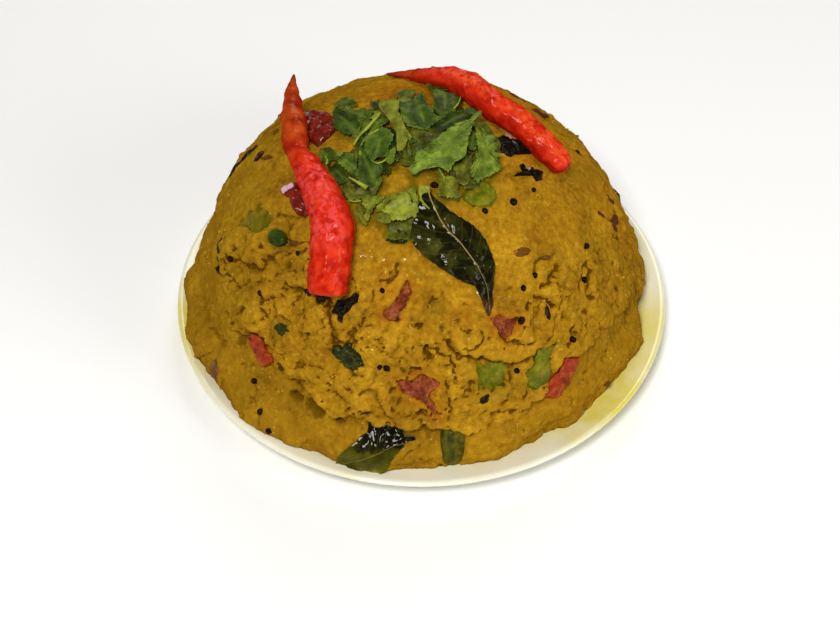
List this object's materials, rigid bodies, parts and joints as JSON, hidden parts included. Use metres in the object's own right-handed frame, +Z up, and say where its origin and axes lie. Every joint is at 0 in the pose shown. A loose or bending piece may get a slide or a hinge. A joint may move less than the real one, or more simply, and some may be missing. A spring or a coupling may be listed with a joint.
{
  "type": "millet upma",
  "caption": "Bowl-moulded dome of yellow millet upma on a small round plate, topped with red chillies, coriander and curry leaves, with vegetable bits and mustard seeds in its surface.",
  "frame": {"origin": "centre of the plate's foot, on the surface that it stands on", "axes": "+Z up through the dome; -Y towards the eater, the side with the curry leaf and the thick end of the left chilli; +X to the eater's right"},
  "size_m": [0.1136, 0.1136, 0.0584],
  "materials": {
    "ceramic": "glossy clear-glazed white",
    "upma": "moist soft mash, slightly oily sheen",
    "red_chilli": "waxy wrinkled skin",
    "curry_leaf": "oily fried leaf",
    "coriander": "fresh soft leaf",
    "tomato": "cooked moist",
    "red_pepper": "cooked moist",
    "green_pepper": "cooked moist",
    "green_bean": "cooked moist",
    "dried_chilli": "fried, glossy",
    "charred_leaf": "fried dark, glossy",
    "onion": "browned soft"
  },
  "bodies": {
    "root": {"plate": "ceramic", "upma": "upma", "chilli_left": "red_chilli", "chilli_right": "red_chilli", "curry_leaf_front": "curry_leaf", "curry_leaf_base": "curry_leaf", "curry_leaf_back": "curry_leaf", "curry_leaf_bit": "curry_leaf", "leaf_bit_top": "curry_leaf", "coriander": "coriander", "tomato_front": "tomato", "tomato_middle": "tomato", "tomato_right": "tomato", "tomato_back": "tomato", "tomato_back_left": "tomato", "pepper_strip_right": "red_pepper", "pepper_strip_left": "red_pepper", "pepper_strip_back": "red_pepper", "green_pepper_middle": "green_pepper", "green_pepper_right": "green_pepper", "green_pepper_top": "green_pepper", "green_pepper_edge": "green_pepper", "green_pepper_left": "green_pepper", "green_pepper_back": "green_pepper", "green_bean_front": "green_bean", "green_bean_back": "green_bean", "pea_left": "green_bean", "dried_chilli_top": "dried_chilli", "dried_chilli_left": "dried_chilli", "charred_leaf_right": "charred_leaf", "charred_bit_front": "charred_leaf", "charred_bit_right": "charred_leaf", "onion_left": "onion"}
  },
  "joints": []
}
